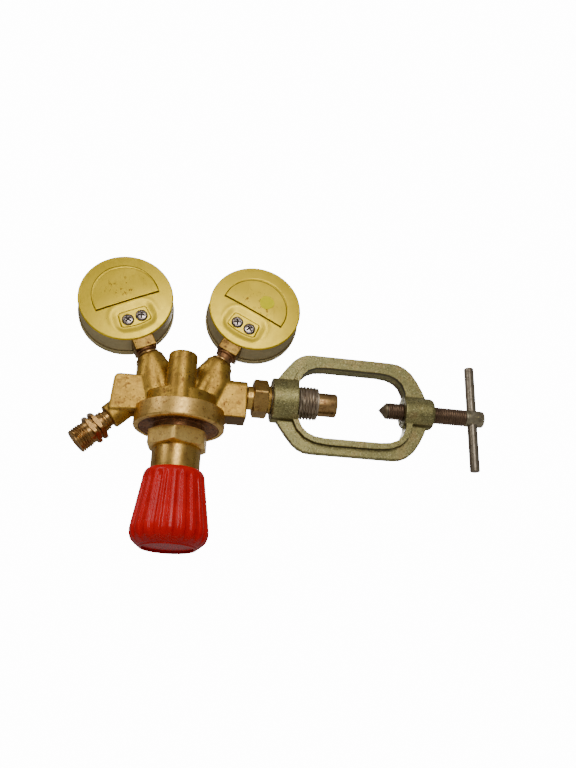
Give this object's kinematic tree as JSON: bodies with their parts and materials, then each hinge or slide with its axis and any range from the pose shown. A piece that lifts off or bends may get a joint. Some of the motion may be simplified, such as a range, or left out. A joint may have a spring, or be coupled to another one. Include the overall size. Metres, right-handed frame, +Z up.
{
  "type": "gas cylinder pressure regulator",
  "caption": "Brass gas pressure regulator with round gauges, a fluted adjusting knob, a hose outlet and a swivelling yoke clamp whose screw holds it on a cylinder valve.",
  "frame": {"origin": "centre of the inlet nozzle's end face, which seats on the cylinder valve", "axes": "+X out of the inlet towards the cylinder valve and the clamp screw, +Z up towards the gauges, dials face +Y"},
  "size_m": [0.2657, 0.055, 0.1867],
  "materials": {
    "forged_brass": "forged and machined, tarnished",
    "bright_brass": "machined, dulled",
    "red_brass": "machined, reddish patina",
    "gold_paint": "satin gold paint",
    "red_plastic": "glossy",
    "zinc_plate": "cast, yellow zinc plated",
    "dark_steel": "browned",
    "bright_steel": "plated, pitted",
    "spring_steel": "drawn wire",
    "rubber": "fabric reinforced",
    "nylon": "machined",
    "bronze": "drawn or sintered bronze",
    "dial_white": "matt",
    "black": "satin",
    "clear_window": "clear"
  },
  "bodies": {
    "regulator": {"body_casting": "forged_brass", "inlet_stem": "bright_brass", "yoke_sleeve": "dark_steel", "inlet_nozzle": "red_brass", "inlet_filter": "bronze", "outlet_fitting": "red_brass", "bonnet": "bright_brass", "diaphragm": "rubber", "valve_seat": "bright_brass", "poppet_spring": "spring_steel", "main_spring": "spring_steel", "gauge_left_case": "gold_paint", "gauge_left_bezel": "gold_paint", "gauge_left_window": "clear_window", "gauge_left_dial": "dial_white", "gauge_left_movement": "bright_brass", "gauge_left_bourdon_tube": "bronze", "gauge_left_socket": "bright_brass", "gauge_left_screw_left": "bright_steel", "gauge_left_screw_right": "bright_steel", "gauge_left_washer": "red_brass", "gauge_right_case": "gold_paint", "gauge_right_bezel": "gold_paint", "gauge_right_window": "clear_window", "gauge_right_dial": "dial_white", "gauge_right_movement": "bright_brass", "gauge_right_bourdon_tube": "bronze", "gauge_right_socket": "bright_brass", "gauge_right_screw_left": "bright_steel", "gauge_right_screw_right": "bright_steel", "gauge_right_washer": "red_brass"},
    "yoke": {"yoke": "zinc_plate"},
    "clamp_point": {"clamp_screw_point": "dark_steel"},
    "clamp_screw": {"clamp_screw": "dark_steel", "tommy_bar": "bright_steel"},
    "spring_button": {"spring_button": "bright_brass"},
    "knob": {"adjusting_knob": "red_plastic", "adjusting_screw": "bright_steel", "knob_fixing_screw": "bright_steel", "knob_cap": "red_plastic"},
    "diaphragm_centre": {"diaphragm_plate": "bright_brass", "diaphragm_washer": "bright_brass"},
    "push_pin": {"push_pin": "bright_steel"},
    "poppet": {"valve_poppet": "nylon"},
    "gauge_left_pointer": {"gauge_left_pointer": "black", "gauge_left_arbor": "bright_brass"},
    "gauge_left_sector": {"gauge_left_sector": "bright_brass"},
    "gauge_left_link": {"gauge_left_link": "bright_steel"},
    "gauge_right_pointer": {"gauge_right_pointer": "black", "gauge_right_arbor": "bright_brass"},
    "gauge_right_sector": {"gauge_right_sector": "bright_brass"},
    "gauge_right_link": {"gauge_right_link": "bright_steel"}
  },
  "joints": [
    {"name": "yoke_swivel", "type": "hinge", "parent": "regulator", "child": "yoke", "pos_m": [-0.033, 0, 0], "axis": [1, 0, 0], "continuous": true},
    {"name": "clamp_feed", "type": "slide", "parent": "yoke", "child": "clamp_point", "axis": [-1, 0, 0], "range_m": [-0.0061, 0.0211]},
    {"name": "clamp_turn", "type": "hinge", "parent": "clamp_point", "child": "clamp_screw", "pos_m": [0.0535, 0, 0], "axis": [-1, 0, 0], "range_deg": [-1440, 5040]},
    {"name": "spring_feed", "type": "slide", "parent": "regulator", "child": "spring_button", "axis": [0, 0, 1], "range_m": [0, 0.0065], "deforming": ["main_spring"]},
    {"name": "knob_turn", "type": "hinge", "parent": "spring_button", "child": "knob", "pos_m": [-0.0968, 0, -0.07], "axis": [0, 0, 1], "range_deg": [0, 1171]},
    {"name": "diaphragm_lift", "type": "slide", "parent": "regulator", "child": "diaphragm_centre", "axis": [0, 0, 1], "range_m": [0, 0.00052]},
    {"name": "push_pin_lift", "type": "slide", "parent": "regulator", "child": "push_pin", "axis": [0, 0, 1], "range_m": [0, 0.00052]},
    {"name": "poppet_lift", "type": "slide", "parent": "regulator", "child": "poppet", "axis": [0, 0, 1], "range_m": [0, 0.00052], "deforming": ["poppet_spring"]},
    {"name": "gauge_left_pointer_turn", "type": "hinge", "parent": "regulator", "child": "gauge_left_pointer", "pos_m": [-0.13708, 0.005, 0.05715], "axis": [0, -1, 0], "range_deg": [-0.5, 265]},
    {"name": "gauge_left_sector_swing", "type": "hinge", "parent": "regulator", "child": "gauge_left_sector", "pos_m": [-0.14772, 0.0044, 0.05743], "axis": [0, -1, 0], "range_deg": [-42, 0.5]},
    {"name": "gauge_left_link_swing", "type": "hinge", "parent": "gauge_left_sector", "child": "gauge_left_link", "pos_m": [-0.15272, 0.0032, 0.05756], "axis": [0, -1, 0], "range_deg": [-0.5, 42]},
    {"name": "gauge_right_pointer_turn", "type": "hinge", "parent": "regulator", "child": "gauge_right_pointer", "pos_m": [-0.0553, 0.005, 0.05961], "axis": [0, -1, 0], "range_deg": [-0.5, 265]},
    {"name": "gauge_right_sector_swing", "type": "hinge", "parent": "regulator", "child": "gauge_right_sector", "pos_m": [-0.06148, 0.0044, 0.06828], "axis": [0, -1, 0], "range_deg": [-42, 0.5]},
    {"name": "gauge_right_link_swing", "type": "hinge", "parent": "gauge_right_sector", "child": "gauge_right_link", "pos_m": [-0.06438, 0.0032, 0.07235], "axis": [0, -1, 0], "range_deg": [-0.5, 42]}
  ],
  "couplings": [
    {"joint": "clamp_feed", "follows": "clamp_turn", "m_per_rad": 0.00023873},
    {"joint": "knob_turn", "follows": "spring_feed", "rad_per_m": 3141.6},
    {"joint": "diaphragm_lift", "follows": "spring_feed", "ratio": 0.076923},
    {"joint": "push_pin_lift", "follows": "spring_feed", "ratio": 0.076923},
    {"joint": "poppet_lift", "follows": "spring_feed", "ratio": 0.076923},
    {"joint": "gauge_left_sector_swing", "follows": "gauge_left_pointer_turn", "ratio": -0.1573},
    {"joint": "gauge_left_link_swing", "follows": "gauge_left_pointer_turn", "ratio": 0.1573},
    {"joint": "gauge_right_sector_swing", "follows": "gauge_right_pointer_turn", "ratio": -0.1573},
    {"joint": "gauge_right_link_swing", "follows": "gauge_right_pointer_turn", "ratio": 0.1573}
  ]
}
